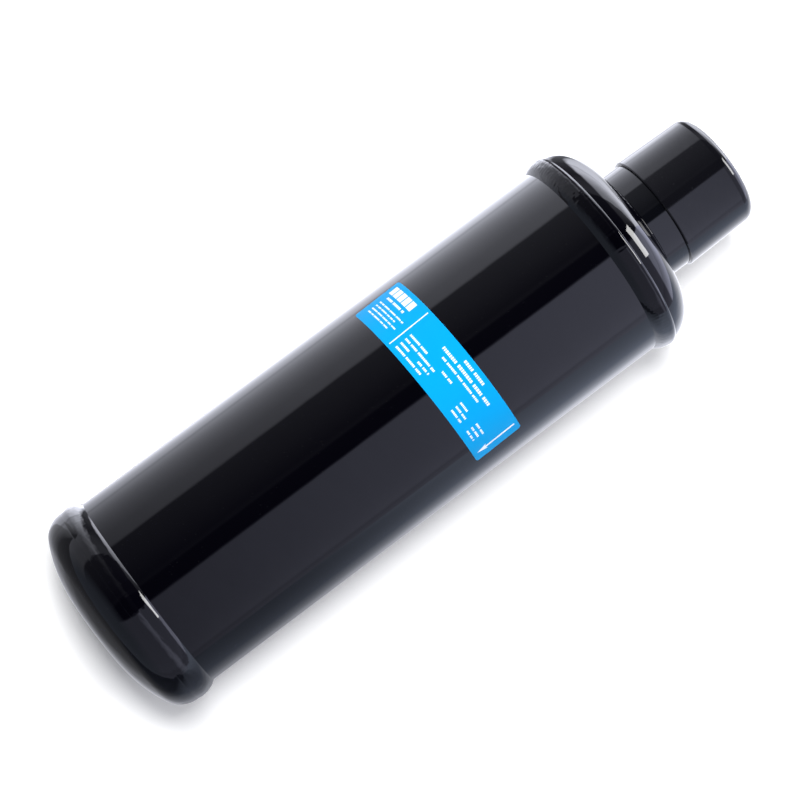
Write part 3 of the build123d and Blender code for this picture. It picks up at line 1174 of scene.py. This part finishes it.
def studio_world():
    world = bpy.data.worlds.new("studio")
    bpy.context.scene.world = world
    world.use_nodes = True
    tree = world.node_tree
    parts = separate(tree, add_node(tree, "ShaderNodeTexCoord").outputs["Generated"])
    colour, brightest = colour_round(tree, parts)
    level = calc(tree, "MULTIPLY", level_by_height(tree, parts), brightest)
    scaled = {0: colour, "Scale": level}
    walls = add_node(tree, "ShaderNodeVectorMath", scaled, operation="SCALE").outputs["Vector"]
    room = blend(tree, remap(tree, parts["Z"], *ground_heights), walls, ground)
    rays = add_node(tree, "ShaderNodeLightPath").outputs
    strength = remap(tree, rays["Is Diffuse Ray"], 0.0, 1.0, 1.0, level_for_matt)
    painted = add_node(tree, "ShaderNodeBackground", {"Color": room, "Strength": strength})
    white = tree.nodes["Background"]
    fill(tree, white, {"Color": (1, 1, 1, 1)})
    sides = painted.outputs["Background"], white.outputs["Background"]
    surface = mix_shaders(tree, rays["Is Camera Ray"], *sides)
    fill(tree, tree.nodes["World Output"], {"Surface": surface})
    return world


print("world:", studio_world().name)

# %% [markdown]
# ## Lamps
#
# The key lamp is a soft one far in front of the vessel, a little above its middle and to the left.
# A wide fill comes from above on the left. Neither shows in the gloss, where the painted
# surroundings do that work. A ceiling lamp does show: it draws the short streaks on the welds, on
# the shoulder of the top cap and on the dust cap.

# %% Place the lamps
def area_lamp(name, position, target, size, power, in_gloss):
    data = bpy.data.lights.new(name, "AREA")
    data.shape = "RECTANGLE"
    data.size, data.size_y = size
    data.energy = power
    lamp = in_scene(bpy.data.objects.new(name, data))
    aim = Vector(target) - Vector(position)
    lamp.rotation_euler = aim.to_track_quat("-Z", "Y").to_euler()
    lamp.location = position
    lamp.visible_glossy = in_gloss
    lamp.visible_camera = False
    print(name, "gives", power, "W")


vessel_middle = (0, 0, 0.14)
vessel_top = (0, 0, 0.2)
area_lamp(
    "key_lamp",
    position=(-0.26, -1.6, 0.28),
    target=vessel_middle,
    size=(0.44, 0.3),
    power=26.0,
    in_gloss=False,
)
area_lamp(
    "fill_lamp",
    position=(-0.9, -0.9, 1.2),
    target=vessel_middle,
    size=(1.2, 1.2),
    power=6.0,
    in_gloss=False,
)
area_lamp(
    "ceiling_lamp",
    position=(0.2, -0.58, 1.3),
    target=vessel_top,
    size=(0.6, 0.34),
    power=8.0,
    in_gloss=True,
)

# %% [markdown]
# ## Camera
#
# The camera looks at the front from a little below the middle of the vessel, and is rolled, so
# that the vessel lies across the frame from lower left to upper right.

# %% Camera
camera_place = Vector((0, -861.8, 58.3)) * mm
camera_aim = Vector((-1.02, 0, 133.6)) * mm
camera_roll = math.radians(53.19)
picture_width = 800
focal_pixels = 2448.2
sensor_width = 36.0
nearest_seen = 10 * mm


def rolled_camera():
    data = bpy.data.cameras.new("camera")
    data.sensor_width = sensor_width
    data.lens = focal_pixels / picture_width * sensor_width
    data.clip_start = nearest_seen
    ahead = (camera_aim - camera_place).normalized()
    level = ahead.cross(Vector((0, 0, 1))).normalized()
    upright = level.cross(ahead)
    right = level * math.cos(camera_roll) + upright * math.sin(camera_roll)
    up = upright * math.cos(camera_roll) - level * math.sin(camera_roll)
    axes = Matrix((right, up, -ahead)).transposed().to_4x4()
    camera = in_scene(bpy.data.objects.new("camera", data))
    camera.matrix_world = Matrix.Translation(camera_place) @ axes
    return camera


bpy.context.scene.camera = rolled_camera()
bpy.context.scene.view_settings.view_transform = "Standard"
print("camera lens", round(bpy.context.scene.camera.data.lens, 1), "mm")
